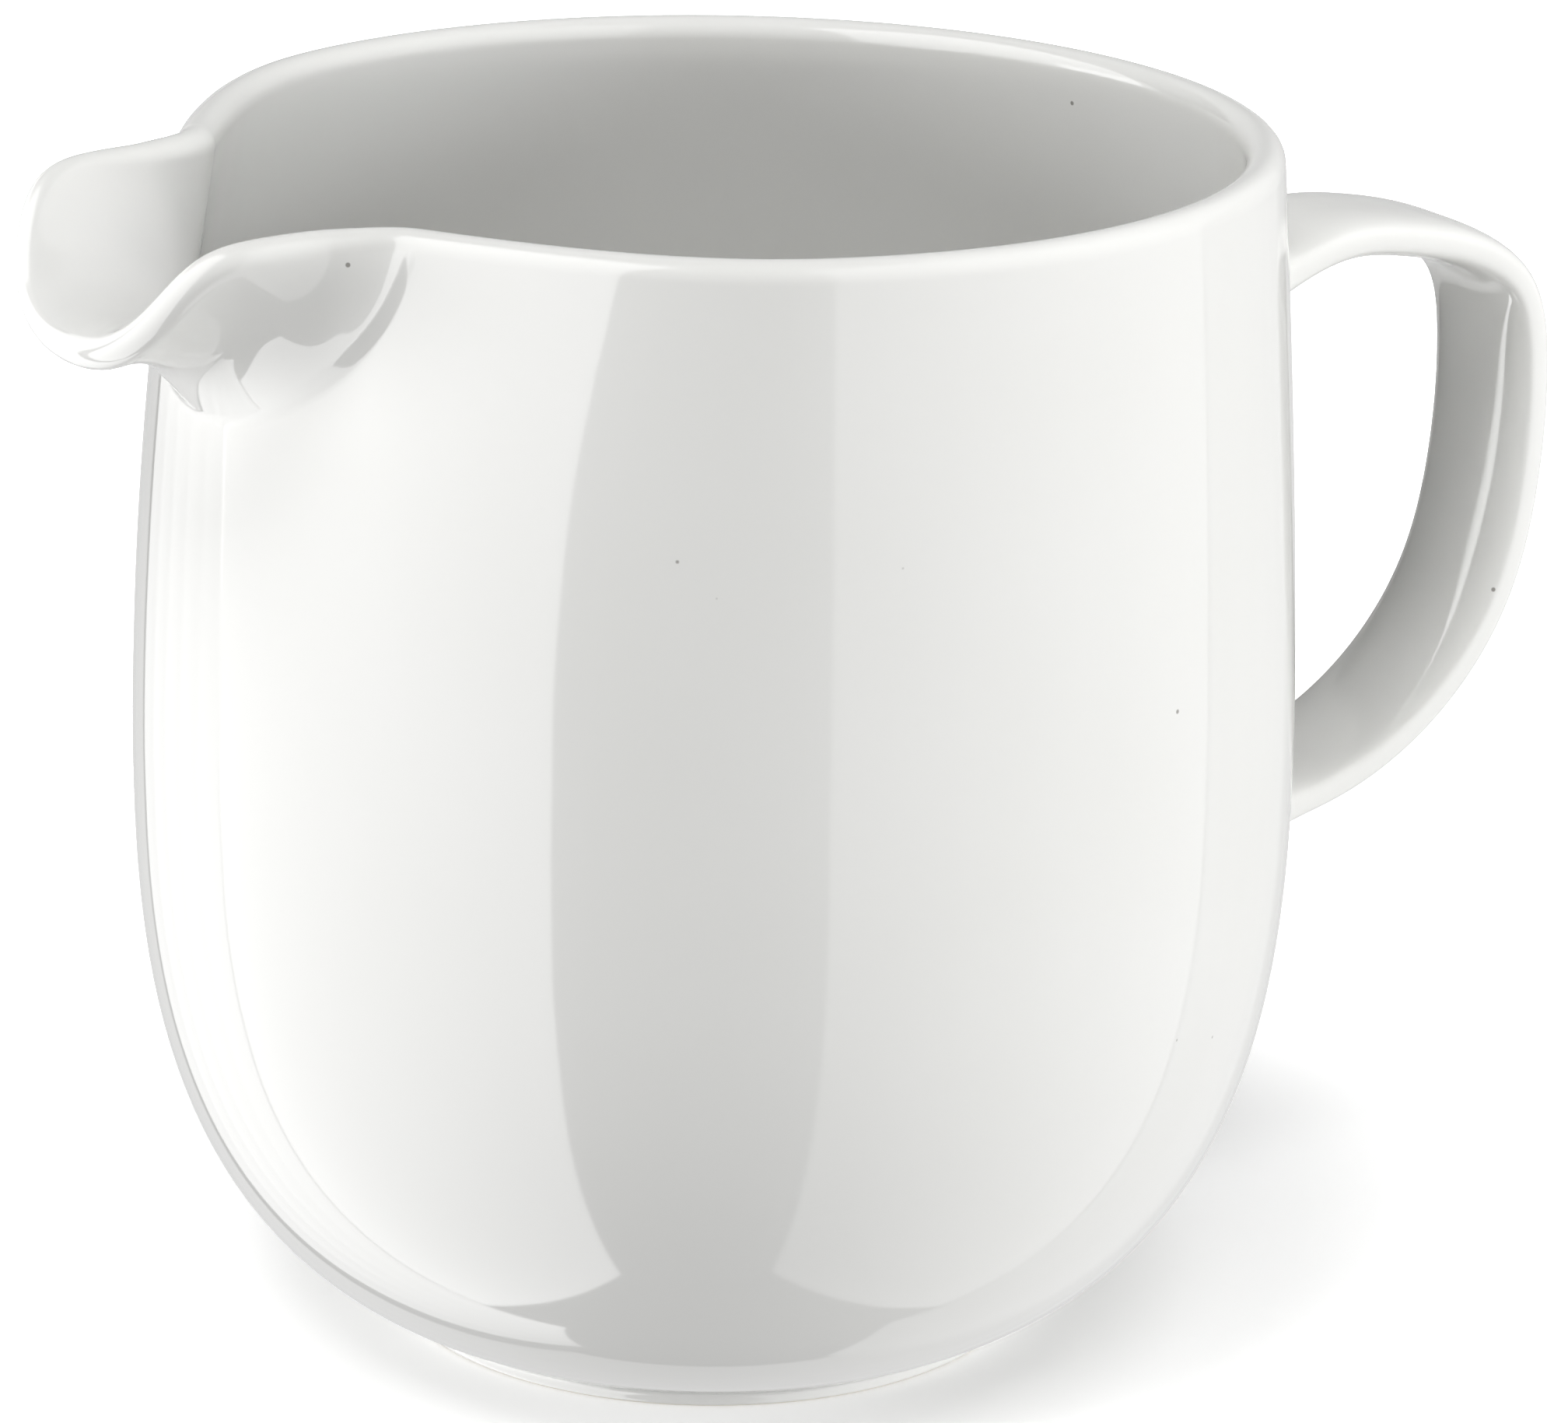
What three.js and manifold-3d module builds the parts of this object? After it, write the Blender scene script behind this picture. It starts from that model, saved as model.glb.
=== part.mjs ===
import * as THREE from 'three';
import { mergeVertices } from 'three/addons/utils/BufferGeometryUtils.js';
import Module from 'manifold-3d';

// A one-piece porcelain jug: a round belly on a low foot ring, a pulled spout and a flat strap handle.
// Millimetres, +Z up, standing on Z = 0. The spout points to -X and the handle to +X.

// Body: a soft belly that tapers a little towards the rim
const BODY_RADIUS = 50;
const HEIGHT = 104.4;
const WALL = 3.3;
const BELLY_HEIGHT = 52;
const BASE_CURVE_DEPTH = 53.7;
const BASE_HEIGHT_POWER = 2.66;
const BASE_RADIUS_POWER = 3.33;
const RIM_TAPER = 2.84;
const RIM_TAPER_POWER = 1.41;
const BASE_START = 1.9;

// Foot ring and floor
const FOOT_RADIUS = 27.9;
const FOOT_INNER_RADIUS = 24.9;
const FOOT_EDGE = 0.5;
const FOOT_WALL_TOP = 1.1;
const RECESS_HEIGHT = 1.8;
const RECESS_RADIUS = 23.9;
const FLOOR_HEIGHT = 5.1;
const FLOOR_FLAT_RADIUS = 26.4;

// Spout: the lip's middle line from above, as (out, across), and from the side
const TIP_REACH = 59.7;
const NOSE_FULLNESS = 20.2;
const LIP_WAIST = [50.1, 15.3];
const LIP_SIDE = [45, 17];
const LIP_CORNER = [41.6, 18.1];
const CORNER_LEAD = 2.6;
const TIP_DROP = 10;
const MOUTH_RUN = 4.7;
const MOUTH_ROUNDING = 4;
const SPOUT_WALL = 2.8;

// Spout: where it leaves the body, how hollow its sides are, and how the rim is drawn in beside it
const SPOUT_HALF_ANGLE = THREE.MathUtils.degToRad(28.3);
const SPOUT_DEPTH = 16.6;
const CREASE_POWER = 1.65;
const CREASE_WIDTH = 1.6;
const CREASE_WIDTH_AT_RIM = 0.7;
const SPOUT_ARCH = 2.4;
const RIM_PULL = 1.8;
const PULL_ANGLE = THREE.MathUtils.degToRad(70);
const PULL_START = 62;

// Handle: a flat strap, its middle line as (distance from the jug's axis, height)
const STRAP_WIDTH = 14.7;
const STRAP_THICKNESS = 4;
const STRAP_ROUNDING = 3.2;
const STRAP_PATH = [
  [47, 85.8], [53.5, 87.1], [60.4, 89.1], [67.5, 88.7], [74.4, 86.9], [79.6, 83.2], [81.6, 75.7],
  [81.3, 65], [78.6, 54], [71.8, 44.7], [62, 38.8], [54, 36.9], [47, 36.1],
];
const ROOT_LENGTH = 10;
const ROOT_SWELL = 4;
const ROOT_SPREAD = 2;

// How finely the surfaces are divided
const COLUMNS = 84;
const OUTSIDE_ROWS = [0.08, 0.18, 0.28, 0.38, 0.49, 0.61, 0.74, 0.87, 1];
const INSIDE_ROWS = [0.2, 0.3, 0.42, 0.56, 0.7, 0.85, 1];
const SHOULDER_ROWS = [0.4, 0.75, 0.92];
const FOLD_ROWS = [-1, -0.35, 0.35, 1];
const TOP_ROWS = [0.35, 0.7, 1];
const TOP_BAND = 6;
const SPOUT_CROWDING = 0.6;
const LIP_STEPS = 4;
const STRAP_STATIONS = 56;
const STRAP_SIDES = 16;
const STEP = 0.01;

const RIM_LEVEL = HEIGHT - WALL / 2;
const RIM_MIDDLE_RADIUS = bodyRadius(RIM_LEVEL) - WALL / 2;
const LIP_PLAN = lipPlan();

// Outer radius: a superellipse below the belly, a slowly steepening taper above it
function bodyRadius(height) {
  if (height > BELLY_HEIGHT) {
    const up = (height - BELLY_HEIGHT) / (HEIGHT - BELLY_HEIGHT);
    return BODY_RADIUS - RIM_TAPER * up ** RIM_TAPER_POWER;
  }
  const down = (BELLY_HEIGHT - height) / BASE_CURVE_DEPTH;
  return BODY_RADIUS * (1 - down ** BASE_HEIGHT_POWER) ** (1 / BASE_RADIUS_POWER);
}

// A point of the wall, set in from the outside at right angles to it
function bodyPoint(height, inset) {
  const slope = (bodyRadius(height + STEP) - bodyRadius(height - STEP)) / (2 * STEP);
  const lean = Math.max(slope, 0);
  const length = Math.hypot(1, lean);
  return new THREE.Vector2(bodyRadius(height) - inset / length, height + (inset * lean) / length);
}

// How far the wall is drawn in beside the spout: most at the rim, half-way to the angle where it ends
function rimPull(angle, height) {
  const around = Math.min(Math.abs(angle) / PULL_ANGLE, 1);
  const up = Math.max((height - PULL_START) / (RIM_LEVEL - PULL_START), 0);
  return RIM_PULL * Math.sin(Math.PI * around) ** 2 * up ** 2;
}

// The middle of the rim at an angle from the spout, before the spout is pulled out
function rimPoint(angle) {
  const radius = RIM_MIDDLE_RADIUS - rimPull(angle, RIM_LEVEL);
  return new THREE.Vector3(radius * Math.cos(angle), radius * Math.sin(angle), RIM_LEVEL);
}

// Half of the lip seen from above, from the tip round the nose and along the side to the rim
function lipPlan() {
  const rim = rimPoint(SPOUT_HALF_ANGLE);
  const leadX = rim.x + CORNER_LEAD * Math.sin(SPOUT_HALF_ANGLE);
  const leadY = rim.y - CORNER_LEAD * Math.cos(SPOUT_HALF_ANGLE);
  const plan = new THREE.Path();
  plan.moveTo(TIP_REACH, 0);
  plan.bezierCurveTo(TIP_REACH, NOSE_FULLNESS, ...LIP_WAIST, ...LIP_SIDE);
  plan.bezierCurveTo(...LIP_CORNER, leadX, leadY, rim.x, rim.y);
  return plan;
}

// The lip's middle line: seen from the side it climbs straight from the tip and levels into the rim
function lipPoint(angle) {
  const plan = LIP_PLAN.getPoint(aroundSpout(angle));
  const back = (TIP_REACH - plan.x) / MOUTH_RUN;
  const climb = back / (1 + back ** MOUTH_ROUNDING) ** (1 / MOUTH_ROUNDING);
  return new THREE.Vector3(plan.x, Math.sign(angle) * plan.y, RIM_LEVEL - TIP_DROP * (1 - climb));
}

// How far round the spout an angle lies: 0 in the middle, 1 where the spout ends
function aroundSpout(angle) {
  return Math.min(Math.abs(angle) / SPOUT_HALF_ANGLE, 1);
}

// Height of the line where the spout leaves the body: a slightly pointed half ellipse below the rim
function creaseHeight(angle) {
  return RIM_LEVEL - SPOUT_DEPTH * Math.sqrt(1 - aroundSpout(angle) ** CREASE_POWER);
}

// Half the width of the rounding along the crease, narrower towards the rim
function creaseWidth(angle) {
  return THREE.MathUtils.lerp(CREASE_WIDTH, CREASE_WIDTH_AT_RIM, aroundSpout(angle) ** 2);
}

// Share of the way to the lip, from 0 below the crease to 1 at the lip, rounded at the crease
function spoutShare(angle, height) {
  const crease = creaseHeight(angle);
  const length = RIM_LEVEL - crease;
  if (length <= STEP) return 0;
  const steepness = (creaseHeight(Math.abs(angle) + STEP) - crease) / (BODY_RADIUS * STEP);
  const rounding = Math.min(creaseWidth(angle) * Math.hypot(1, steepness), length / 2);
  const above = height - crease;
  if (above <= -rounding) return 0;
  if (above >= rounding) return above / length;
  return (above + rounding) ** 2 / (4 * rounding * length);
}

// The middle of the wall at an angle from the spout. In the spout it is carried out to the lip, and
// its underside arches up on the way, so that the lip droops a little.
function middleWall(angle, height) {
  const body = bodyPoint(height, WALL / 2);
  const radius = body.x - rimPull(angle, height);
  const point = new THREE.Vector3(radius * Math.cos(angle), radius * Math.sin(angle), body.y);
  const share = spoutShare(angle, height);
  if (share === 0) return point;
  const arch = 4 * share * (1 - share) * (1 - aroundSpout(angle) ** 2);
  point.addScaledVector(lipPoint(angle).sub(rimPoint(angle)), share);
  point.z += SPOUT_ARCH * arch;
  return point;
}

// A point at half a wall's distance from the middle, turned by an angle from the outside over the lip
function wallPoint(angle, height, turn) {
  const middle = middleWall(angle, height);
  const along = middleWall(angle + STEP, height).sub(middleWall(angle - STEP, height)).normalize();
  const upward = middleWall(angle, height + STEP).sub(middleWall(angle, height - STEP));
  const outward = along.clone().cross(upward).normalize();
  const over = outward.clone().cross(along);
  const share = THREE.MathUtils.clamp(spoutShare(angle, height), 0, 1);
  const thinning = share * (1 - aroundSpout(angle) ** 2);
  const half = THREE.MathUtils.lerp(WALL, SPOUT_WALL, thinning) / 2;
  middle.addScaledVector(outward, half * Math.cos(turn));
  return middle.addScaledVector(over, half * Math.sin(turn));
}

// Heights of the wall's rows at one angle. The upper rows follow the crease, so that it stays crisp.
function wallHeights(angle, inside) {
  const { lerp } = THREE.MathUtils;
  const crease = Math.min(creaseHeight(angle), RIM_LEVEL - TOP_BAND);
  const fold = creaseWidth(angle);
  const low = inside ? INSIDE_ROWS : OUTSIDE_ROWS;
  return [
    ...low.map((share) => lerp(BASE_START, BELLY_HEIGHT, share ** 2)),
    ...SHOULDER_ROWS.map((share) => lerp(BELLY_HEIGHT, crease, share)),
    ...FOLD_ROWS.map((share) => crease + share * fold),
    ...TOP_ROWS.map((share) => lerp(crease + fold, RIM_LEVEL, share)),
  ];
}

// One column of the jug's skin, from the middle of the underside out, up, over the lip and down inside
function columnPoints(angle) {
  const [across, along] = [Math.cos(angle), Math.sin(angle)];
  const ring = (radius, height) => new THREE.Vector3(radius * across, radius * along, height);
  const underside = [
    ring(RECESS_RADIUS / 2, RECESS_HEIGHT),
    ring(RECESS_RADIUS, RECESS_HEIGHT),
    ring(FOOT_INNER_RADIUS, FOOT_WALL_TOP),
    ring(FOOT_INNER_RADIUS, FOOT_EDGE),
    ring(FOOT_INNER_RADIUS + FOOT_EDGE, 0),
    ring(FOOT_RADIUS - FOOT_EDGE, 0),
    ring(FOOT_RADIUS, FOOT_EDGE),
    ring(FOOT_RADIUS, FOOT_WALL_TOP),
    ring(bodyRadius(BASE_START), BASE_START),
  ];
  const outside = wallHeights(angle, false).map((height) => wallPoint(angle, height, 0));
  const lip = [];
  for (let step = 1; step < LIP_STEPS; step += 1) {
    lip.push(wallPoint(angle, RIM_LEVEL, (Math.PI * step) / LIP_STEPS));
  }
  const inside = wallHeights(angle, true).reverse().map((height) => wallPoint(angle, height, Math.PI));
  const floor = [ring(FLOOR_FLAT_RADIUS, FLOOR_HEIGHT), ring(FLOOR_FLAT_RADIUS / 2, FLOOR_HEIGHT)];
  return [...underside, ...outside, ...lip, ...inside, ...floor];
}

// The columns crowd together at the spout, where the shape turns most
function columnAngle(column) {
  const even = (2 * Math.PI * column) / COLUMNS;
  const turned = even > Math.PI ? even - 2 * Math.PI : even;
  return turned - SPOUT_CROWDING * Math.sin(turned);
}

// A closed skin from rows of points that run round it, with a point at each end
function skinGeometry(rings, first, last) {
  const count = rings[0].length;
  const points = [first, ...rings.flat(), last];
  const index = [];
  for (let side = 0; side < count; side += 1) {
    const next = (side + 1) % count;
    index.push(0, 1 + next, 1 + side);
    for (let row = 0; row < rings.length - 1; row += 1) {
      const low = 1 + row * count;
      const high = low + count;
      index.push(low + side, low + next, high + next, low + side, high + next, high + side);
    }
    const end = 1 + (rings.length - 1) * count;
    index.push(end + side, end + next, points.length - 1);
  }
  return new THREE.BufferGeometry().setFromPoints(points).setIndex(index);
}

// Body, foot and spout as one skin. The spout's own direction is turned to -X.
function vesselGeometry() {
  const columns = [];
  for (let column = 0; column < COLUMNS; column += 1) columns.push(columnPoints(columnAngle(column)));
  const rings = columns[0].map((_, row) => columns.map((points) => points[row]));
  const underside = new THREE.Vector3(0, 0, RECESS_HEIGHT);
  const floor = new THREE.Vector3(0, 0, FLOOR_HEIGHT);
  return skinGeometry(rings, underside, floor).rotateZ(Math.PI);
}

// How much the strap swells near a root: a quarter round, from 1 at the wall to 0 at the root's length
function rootShare(distance) {
  const near = THREE.MathUtils.clamp(1 - distance / ROOT_LENGTH, 0, 1);
  return 1 - Math.sqrt(1 - near ** 2);
}

// The strap's section is a superellipse: flat faces with well rounded edges
function strapSection(centre, normal, width, thickness) {
  const section = [];
  for (let side = 0; side < STRAP_SIDES; side += 1) {
    const turn = (2 * Math.PI * side) / STRAP_SIDES;
    const across = Math.sign(Math.cos(turn)) * Math.abs(Math.cos(turn)) ** (2 / STRAP_ROUNDING);
    const out = Math.sign(Math.sin(turn)) * Math.abs(Math.sin(turn)) ** (2 / STRAP_ROUNDING);
    const point = centre.clone().addScaledVector(normal, (out * thickness) / 2);
    point.y = (across * width) / 2;
    section.push(point);
  }
  return section;
}

// The handle follows its middle line and swells into the wall at both roots
function handleGeometry() {
  const points = STRAP_PATH.map(([out, height]) => new THREE.Vector3(out, 0, height));
  const path = new THREE.CatmullRomCurve3(points);
  const length = path.getLength();
  const buried = WALL / 2;
  const rings = [];
  for (let station = 0; station <= STRAP_STATIONS; station += 1) {
    const even = station / STRAP_STATIONS;
    const along = (even + (1 - Math.cos(Math.PI * even)) / 2) / 2;
    const centre = path.getPointAt(along);
    const tangent = path.getTangentAt(along);
    const normal = new THREE.Vector3(-tangent.z, 0, tangent.x);
    const swell = rootShare(Math.max(Math.min(along, 1 - along) * length - buried, 0));
    const width = STRAP_WIDTH + 2 * ROOT_SPREAD * swell;
    const thickness = STRAP_THICKNESS + 2 * ROOT_SWELL * swell;
    rings.push(strapSection(centre, normal, width, thickness));
  }
  return skinGeometry(rings, path.getPointAt(0), path.getPointAt(1));
}

// A solid for joining, from a closed skin
function toSolid(wasm, geometry) {
  geometry.deleteAttribute('normal');
  geometry.deleteAttribute('uv');
  const merged = mergeVertices(geometry);
  return new wasm.Manifold(new wasm.Mesh({
    numProp: 3,
    vertProperties: new Float32Array(merged.attributes.position.array),
    triVerts: new Uint32Array(merged.index.array),
  }));
}

// A skin for showing, from a joined solid, centred along X and standing on Z = 0
function toGeometry(solid) {
  const mesh = solid.getMesh();
  const geometry = new THREE.BufferGeometry();
  geometry.setAttribute('position', new THREE.BufferAttribute(new Float32Array(mesh.vertProperties), 3));
  geometry.setIndex(new THREE.BufferAttribute(new Uint32Array(mesh.triVerts), 1));
  geometry.computeBoundingBox();
  const middle = (geometry.boundingBox.min.x + geometry.boundingBox.max.x) / 2;
  geometry.translate(-middle, 0, 0);
  geometry.computeVertexNormals();
  return geometry;
}

const wasm = await Module();
wasm.setup();

const glaze = new THREE.MeshStandardMaterial({ color: 0xf4f4f2, roughness: 0.08, metalness: 0 });
const joined = toSolid(wasm, vesselGeometry()).add(toSolid(wasm, handleGeometry()));
const jug = new THREE.Mesh(toGeometry(joined), glaze);
jug.name = 'jug';

const group = new THREE.Group();
group.add(jug);

export default group;
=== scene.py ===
# %% [markdown]
# # A white porcelain jug
# A milk jug of glazed porcelain: a rounded body on a low foot ring, a spout pulled out of the rim and a
# flat strap handle. The real one is cast in a plaster mould, the handle is stuck on with slip, the whole
# is dipped in glaze and fired. It is then one piece without a seam, so here it is one closed surface.
#
# The frame holds the jug's solid. Its box is kept, because the fine surface has to stay inside it.

import bmesh
import bpy
import numpy as np
from mathutils import Matrix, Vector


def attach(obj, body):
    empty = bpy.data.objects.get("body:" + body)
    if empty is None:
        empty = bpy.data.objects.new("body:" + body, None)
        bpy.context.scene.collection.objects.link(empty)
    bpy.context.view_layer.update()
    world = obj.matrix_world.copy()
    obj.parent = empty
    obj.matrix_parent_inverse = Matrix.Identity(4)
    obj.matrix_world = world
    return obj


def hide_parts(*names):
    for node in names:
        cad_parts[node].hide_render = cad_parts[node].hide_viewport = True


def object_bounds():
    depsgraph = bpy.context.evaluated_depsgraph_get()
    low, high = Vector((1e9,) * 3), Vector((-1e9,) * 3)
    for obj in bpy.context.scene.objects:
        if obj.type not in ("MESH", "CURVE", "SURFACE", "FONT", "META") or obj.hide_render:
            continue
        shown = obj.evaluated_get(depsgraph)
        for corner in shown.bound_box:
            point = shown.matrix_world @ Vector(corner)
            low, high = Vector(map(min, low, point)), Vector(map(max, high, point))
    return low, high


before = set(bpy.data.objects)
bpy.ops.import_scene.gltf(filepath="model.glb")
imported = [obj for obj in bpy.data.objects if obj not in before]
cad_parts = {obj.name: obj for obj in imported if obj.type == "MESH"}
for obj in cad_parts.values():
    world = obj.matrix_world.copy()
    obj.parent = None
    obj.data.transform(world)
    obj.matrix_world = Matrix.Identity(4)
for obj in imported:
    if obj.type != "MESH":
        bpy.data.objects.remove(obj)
solid_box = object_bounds()
print("box of the solid, in metres:", solid_box)

# %% [markdown]
# ## The body's wall
# The outline is what a potter calls the profile. Below the belly it is a superellipse, a softened
# quarter round that runs flat into the foot, and above the belly it draws in slowly. One could lathe
# this profile, but the spout breaks the symmetry, so the wall is a function of two parameters instead:
# the angle from the spout and the height.
#
# All sizes are millimetres, measured from the jug's own axis with the spout at angle 0. In the frame the
# spout is on the -X side and the origin is midway between spout and handle. So the finished skin is
# turned half round, and at the very end all points are moved along X.

# %% Sizes of the body in millimetres
BODY_RADIUS, HEIGHT, WALL = 50.0, 104.4, 3.3
RIM_LEVEL = HEIGHT - WALL / 2
BELLY_HEIGHT, BASE_CURVE_DEPTH = 52.0, 53.7
BASE_HEIGHT_POWER, BASE_RADIUS_POWER = 2.66, 3.33
RIM_TAPER, RIM_TAPER_POWER = 2.84, 1.41
BASE_START = 1.9
# Beside the spout, up to PULL_ANGLE round the rim and from PULL_START up, the wall is drawn in a little.
RIM_PULL, PULL_ANGLE, PULL_START = 1.8, np.radians(70), 62.0
# A small step along a surface, in radians or millimetres, from which slopes are worked out.
STEP = 0.01


# %% Body profile
def body_radius(height):
    """Outer radius: 50 (1 - down^2.66)^(1/3.33) below the belly, less a taper of up^1.41 above it."""
    up = np.clip((height - BELLY_HEIGHT) / (HEIGHT - BELLY_HEIGHT), 0, None)
    down = np.clip((BELLY_HEIGHT - height) / BASE_CURVE_DEPTH, 0, 1)
    quarter = (1 - down**BASE_HEIGHT_POWER) ** (1 / BASE_RADIUS_POWER)
    return BODY_RADIUS * quarter - RIM_TAPER * up**RIM_TAPER_POWER


def body_point(height, inset):
    """Radius and height of a point set in from the outside, at right angles to the wall."""
    slope = (body_radius(height + STEP) - body_radius(height - STEP)) / (2 * STEP)
    lean = np.maximum(slope, 0)
    length = np.hypot(1, lean)
    return body_radius(height) - inset / length, height + inset * lean / length


def rim_pull(angle, height):
    """How far the wall is drawn in beside the spout: sin^2 round the rim, fading as height squared."""
    around = np.clip(np.abs(angle) / PULL_ANGLE, 0, 1)
    up = np.clip((height - PULL_START) / (RIM_LEVEL - PULL_START), 0, None)
    return RIM_PULL * np.sin(np.pi * around) ** 2 * up**2


print(f"radius at the rim {body_radius(np.float64(HEIGHT)):.1f} mm")
print(f"radius at the foot {body_radius(np.float64(BASE_START)):.1f} mm")


# %% Points round the axis
def stack(x, y, z):
    """Three arrays as one array of points."""
    return np.stack(np.broadcast_arrays(x, y, z), axis=-1)


def around_axis(radius, angle, height):
    """Points at a radius and angle round the jug's axis: x is the cosine, y the sine of the angle."""
    return stack(radius * np.cos(angle), radius * np.sin(angle), height)


print("a quarter of the way round the belly:", around_axis(BODY_RADIUS, np.pi / 2, BELLY_HEIGHT).round(1))

# %% [markdown]
# ## The spout
# A spout is made by pulling the soft rim outwards over one finger while two others hold the wall beside
# it. Seen from above the lip runs round a nose and back into the rim in a hollow curve; seen from the
# side it drops from the rim and sticks out level. Sculpting could give this, but not twice the same.
# So the lip is drawn first, and then the wall above a crease, half an ellipse that hangs from the rim,
# is carried out to it in proportion to its height.

# %% Sizes of the spout in millimetres
TIP_REACH, TIP_DROP, SPOUT_WALL = 59.7, 10.0, 2.8
SPOUT_HALF_ANGLE = np.radians(28.3)
# The lip seen from above, as distance out and across: round the nose, then back into the rim.
NOSE_FULLNESS, LIP_WAIST, LIP_SIDE = 20.2, (50.1, 15.3), (45, 17)
LIP_CORNER, CORNER_LEAD = (41.6, 18.1), 2.6
LIP_POINTS = 200
# The lip climbs from the tip to the rim over MOUTH_RUN and levels out within a rounding.
MOUTH_RUN, MOUTH_ROUNDING = 4.7, 4.0

AXIS_X = (solid_box[0][0] * 1000) + TIP_REACH + SPOUT_WALL / 2
print(f"the jug's axis stands {AXIS_X:.2f} mm from the frame's origin")


# %% The lip
def bezier(start, first, second, end):
    """Points on a cubic curve: the four points weighted by (1-t)^3, 3t(1-t)^2, 3t^2(1-t) and t^3."""
    t = np.linspace(0, 1, LIP_POINTS)[:, None]
    start, first, second, end = np.array([start, first, second, end], float)
    return (1 - t) ** 3 * start + 3 * t * (1 - t) ** 2 * first + 3 * t**2 * (1 - t) * second + t**3 * end


def along_line(line):
    """Distance covered at each point of a line of points."""
    return np.concatenate([[0], np.cumsum(np.linalg.norm(np.diff(line, axis=0), axis=1))])


def around_spout(angle):
    """0 in the middle of the spout, 1 where it ends."""
    return np.clip(np.abs(angle) / SPOUT_HALF_ANGLE, 0, 1)


def rim_point(angle):
    """A point in the middle of the rim before the spout is pulled out."""
    return around_axis(body_radius(RIM_LEVEL) - WALL / 2 - rim_pull(angle, RIM_LEVEL), angle, RIM_LEVEL)


rim_end = rim_point(SPOUT_HALF_ANGLE)[:2]
nose = bezier((TIP_REACH, 0), (TIP_REACH, NOSE_FULLNESS), LIP_WAIST, LIP_SIDE)
rim_lead = rim_end + CORNER_LEAD * np.array([np.sin(SPOUT_HALF_ANGLE), -np.cos(SPOUT_HALF_ANGLE)])
side = bezier(LIP_SIDE, LIP_CORNER, rim_lead, rim_end)
lip_plan = np.concatenate([nose, side[1:]])
lip_length = along_line(lip_plan)


def lip_point(angle):
    """Lip's middle line: the plan by share of its length, and a drop that levels into the rim."""
    place = around_spout(angle) * lip_length[-1]
    out = np.interp(place, lip_length, lip_plan[:, 0])
    across = np.interp(place, lip_length, lip_plan[:, 1]) * np.sign(angle)
    back = (TIP_REACH - out) / MOUTH_RUN
    climb = back / (1 + back**MOUTH_ROUNDING) ** (1 / MOUTH_ROUNDING)
    return stack(out, across, RIM_LEVEL - TIP_DROP * (1 - climb))


print(f"the lip is {2 * lip_length[-1]:.0f} mm long")

# %% The crease
SPOUT_DEPTH, SPOUT_ARCH, CREASE_POWER = 16.6, 2.4, 1.65
CREASE_WIDTH, CREASE_WIDTH_AT_RIM = 1.6, 0.7


def crease_height(angle, depth):
    """Where the spout leaves the body: a pointed half ellipse, depth sqrt(1 - a^1.65) below the rim."""
    return RIM_LEVEL - depth * np.sqrt(1 - around_spout(angle) ** CREASE_POWER)


def crease_slope(angle, depth):
    """How steeply the crease climbs: its rise over a small step, by the way covered round the body."""
    rise = crease_height(np.abs(angle) + STEP, depth) - crease_height(angle, depth)
    return rise / (BODY_RADIUS * STEP)


def spout_share(angle, height, depth, width, width_at_rim):
    """0 below the crease and 1 at the lip, in proportion to the height, rounded where it starts."""
    crease = crease_height(angle, depth)
    length = np.maximum(RIM_LEVEL - crease, STEP)
    half = width + (width_at_rim - width) * around_spout(angle) ** 2
    rounding = np.minimum(half * np.hypot(1, crease_slope(angle, depth)), length / 2)
    above = height - crease
    rounded = (above + rounding) ** 2 / (4 * rounding * length)
    share = np.where(above <= -rounding, 0, np.where(above >= rounding, above / length, rounded))
    return np.where(RIM_LEVEL - crease <= STEP, 0, share)


def arch(angle, share):
    """The spout's underside arches up between crease and lip, so that the lip droops: 4s(1-s)."""
    return SPOUT_ARCH * 4 * share * (1 - share) * (1 - around_spout(angle) ** 2)


print(f"the crease hangs {RIM_LEVEL - crease_height(0.0, SPOUT_DEPTH):.1f} mm below the rim")


# %% The wall with its spout
def plain_wall(angle, height):
    """Middle of the body's wall, as it is without a spout."""
    radius, level = body_point(height, WALL / 2)
    return around_axis(radius - rim_pull(angle, height), angle, level)


def middle_wall(angle, height):
    """Middle of the wall: the body's wall, and above the crease carried out to the lip."""
    point = plain_wall(angle, height)
    share = spout_share(angle, height, SPOUT_DEPTH, CREASE_WIDTH, CREASE_WIDTH_AT_RIM)
    point = point + share[..., None] * (lip_point(angle) - rim_point(angle))
    point[..., 2] += arch(angle, share)
    return point


def beside(surface, angle, height, turn, half):
    """A point beside a surface: half a wall away, turned from its outside over the top to its inside."""
    along = surface(angle + STEP, height) - surface(angle - STEP, height)
    along /= np.linalg.norm(along, axis=-1, keepdims=True)
    upward = surface(angle, height + STEP) - surface(angle, height - STEP)
    outward = np.cross(along, upward)
    outward /= np.linalg.norm(outward, axis=-1, keepdims=True)
    over = np.cross(outward, along)
    return surface(angle, height) + half * (np.cos(turn) * outward + np.sin(turn) * over)


def wall_point(angle, height, turn):
    """A point of the wall's skin. The wall thins towards the tip of the spout."""
    share = np.clip(spout_share(angle, height, SPOUT_DEPTH, CREASE_WIDTH, CREASE_WIDTH_AT_RIM), 0, 1)
    thinning = share * (1 - around_spout(angle) ** 2)
    half = (WALL + (SPOUT_WALL - WALL) * thinning)[..., None] / 2
    return beside(middle_wall, angle, height, turn, half)


tip = middle_wall(np.zeros(1), np.full(1, RIM_LEVEL))[0]
print(f"the lip's middle line is {tip[0]:.1f} mm out at the tip, and {tip[2]:.1f} mm above the table")

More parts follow.
